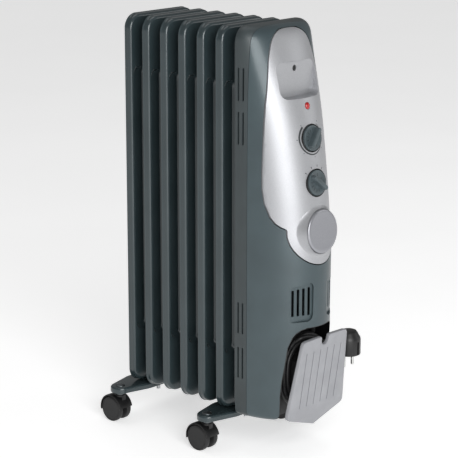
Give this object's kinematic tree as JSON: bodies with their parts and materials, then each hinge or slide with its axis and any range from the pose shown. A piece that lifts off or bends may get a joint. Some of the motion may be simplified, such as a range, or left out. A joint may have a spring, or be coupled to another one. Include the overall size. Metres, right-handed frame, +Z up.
{
  "type": "oil filled radiator heater",
  "caption": "Electric oil filled column radiator on swivel casters, with a front control housing, two knobs, a hand grip and a cord winder.",
  "frame": {"origin": "bottom centre of the radiator on the floor, measured without the cord and plug", "axes": "+Z up, -Y towards the front with the controls, X across the fins"},
  "size_m": [0.212, 0.3656, 0.6306],
  "materials": {
    "radiator_paint": "semi-gloss enamel",
    "frame_plastic": "fine texture",
    "cover_plastic": "satin",
    "fascia_silver": "satin silver paint on plastic",
    "badge_silver": "satin silver",
    "knob_plastic": "satin",
    "lamp_red": "clear red",
    "plate_silver": "satin silver",
    "black_plastic": "satin",
    "cord_rubber": "matt",
    "wheel_plastic": "matt",
    "foot_paint": "semi-gloss enamel",
    "zinc_steel": "zinc plated",
    "shield_steel": "galvanised",
    "pin_metal": "nickel plated",
    "terminal_plastic": "off-white",
    "wire_sleeve": "glass-fibre sleeve"
  },
  "bodies": {
    "radiator": {"fin_1": "radiator_paint", "fin_2": "radiator_paint", "fin_3": "radiator_paint", "fin_4": "radiator_paint", "fin_5": "radiator_paint", "fin_6": "radiator_paint", "fin_7": "radiator_paint", "heating_element": "shield_steel", "heat_shield": "shield_steel", "housing_rear_frame": "frame_plastic", "housing_cover": "cover_plastic", "fascia": "fascia_silver", "fascia_screw": "black_plastic", "badge_disc": "badge_silver", "lamp_lens": "lamp_red", "control_bracket": "zinc_steel", "thermostat_body": "terminal_plastic", "selector_switch": "black_plastic", "terminal_block": "terminal_plastic", "thermal_cutout": "black_plastic", "wiring_loom": "wire_sleeve", "winder_hub": "black_plastic", "winder_plate": "plate_silver", "cord_gland": "black_plastic", "supply_cord_coil": "cord_rubber", "supply_cord_tail": "cord_rubber", "plug_body": "black_plastic", "plug_pin_left": "pin_metal", "plug_pin_right": "pin_metal", "front_foot": "foot_paint", "front_u_bolt": "zinc_steel", "front_left_wing_nut": "zinc_steel", "front_right_wing_nut": "zinc_steel", "rear_foot": "foot_paint", "rear_u_bolt": "zinc_steel", "rear_left_wing_nut": "zinc_steel", "rear_right_wing_nut": "zinc_steel", "front_left_caster_stem": "zinc_steel", "front_right_caster_stem": "zinc_steel", "rear_left_caster_stem": "zinc_steel", "rear_right_caster_stem": "zinc_steel"},
    "thermostat_dial": {"thermostat_knob": "knob_plastic"},
    "selector_dial": {"selector_knob": "knob_plastic"},
    "front_left_caster": {"front_left_caster_hood": "black_plastic", "front_left_caster_axle": "zinc_steel"},
    "front_left_outer": {"front_left_wheel_outer": "wheel_plastic"},
    "front_left_inner": {"front_left_wheel_inner": "wheel_plastic"},
    "front_right_caster": {"front_right_caster_hood": "black_plastic", "front_right_caster_axle": "zinc_steel"},
    "front_right_outer": {"front_right_wheel_outer": "wheel_plastic"},
    "front_right_inner": {"front_right_wheel_inner": "wheel_plastic"},
    "rear_left_caster": {"rear_left_caster_hood": "black_plastic", "rear_left_caster_axle": "zinc_steel"},
    "rear_left_outer": {"rear_left_wheel_outer": "wheel_plastic"},
    "rear_left_inner": {"rear_left_wheel_inner": "wheel_plastic"},
    "rear_right_caster": {"rear_right_caster_hood": "black_plastic", "rear_right_caster_axle": "zinc_steel"},
    "rear_right_outer": {"rear_right_wheel_outer": "wheel_plastic"},
    "rear_right_inner": {"rear_right_wheel_inner": "wheel_plastic"}
  },
  "joints": [
    {"name": "thermostat_turn", "type": "hinge", "parent": "radiator", "child": "thermostat_dial", "pos_m": [0, -0.15192, 0.47262], "axis": [0, 0.9884, -0.1517], "range_deg": [0, 285]},
    {"name": "selector_turn", "type": "hinge", "parent": "radiator", "child": "selector_dial", "pos_m": [0, -0.16158, 0.40962], "axis": [0, 0.9884, -0.1517], "range_deg": [0, 90]},
    {"name": "front_left_swivel", "type": "hinge", "parent": "radiator", "child": "front_left_caster", "pos_m": [-0.0915, -0.03319, 0.045], "axis": [0, 0, 1], "continuous": true},
    {"name": "front_left_outer_roll", "type": "hinge", "parent": "front_left_caster", "child": "front_left_outer", "pos_m": [-0.0915, -0.02419, 0.01962], "axis": [1, 0, 0], "continuous": true},
    {"name": "front_left_inner_roll", "type": "hinge", "parent": "front_left_caster", "child": "front_left_inner", "pos_m": [-0.0915, -0.02419, 0.01962], "axis": [1, 0, 0], "continuous": true},
    {"name": "front_right_swivel", "type": "hinge", "parent": "radiator", "child": "front_right_caster", "pos_m": [0.0915, -0.03319, 0.045], "axis": [0, 0, 1], "continuous": true},
    {"name": "front_right_outer_roll", "type": "hinge", "parent": "front_right_caster", "child": "front_right_outer", "pos_m": [0.0915, -0.02419, 0.01962], "axis": [1, 0, 0], "continuous": true},
    {"name": "front_right_inner_roll", "type": "hinge", "parent": "front_right_caster", "child": "front_right_inner", "pos_m": [0.0915, -0.02419, 0.01962], "axis": [1, 0, 0], "continuous": true},
    {"name": "rear_left_swivel", "type": "hinge", "parent": "radiator", "child": "rear_left_caster", "pos_m": [-0.0915, 0.15081, 0.045], "axis": [0, 0, 1], "continuous": true},
    {"name": "rear_left_outer_roll", "type": "hinge", "parent": "rear_left_caster", "child": "rear_left_outer", "pos_m": [-0.0915, 0.15981, 0.01962], "axis": [1, 0, 0], "continuous": true},
    {"name": "rear_left_inner_roll", "type": "hinge", "parent": "rear_left_caster", "child": "rear_left_inner", "pos_m": [-0.0915, 0.15981, 0.01962], "axis": [1, 0, 0], "continuous": true},
    {"name": "rear_right_swivel", "type": "hinge", "parent": "radiator", "child": "rear_right_caster", "pos_m": [0.0915, 0.15081, 0.045], "axis": [0, 0, 1], "continuous": true},
    {"name": "rear_right_outer_roll", "type": "hinge", "parent": "rear_right_caster", "child": "rear_right_outer", "pos_m": [0.0915, 0.15981, 0.01962], "axis": [1, 0, 0], "continuous": true},
    {"name": "rear_right_inner_roll", "type": "hinge", "parent": "rear_right_caster", "child": "rear_right_inner", "pos_m": [0.0915, 0.15981, 0.01962], "axis": [1, 0, 0], "continuous": true}
  ]
}
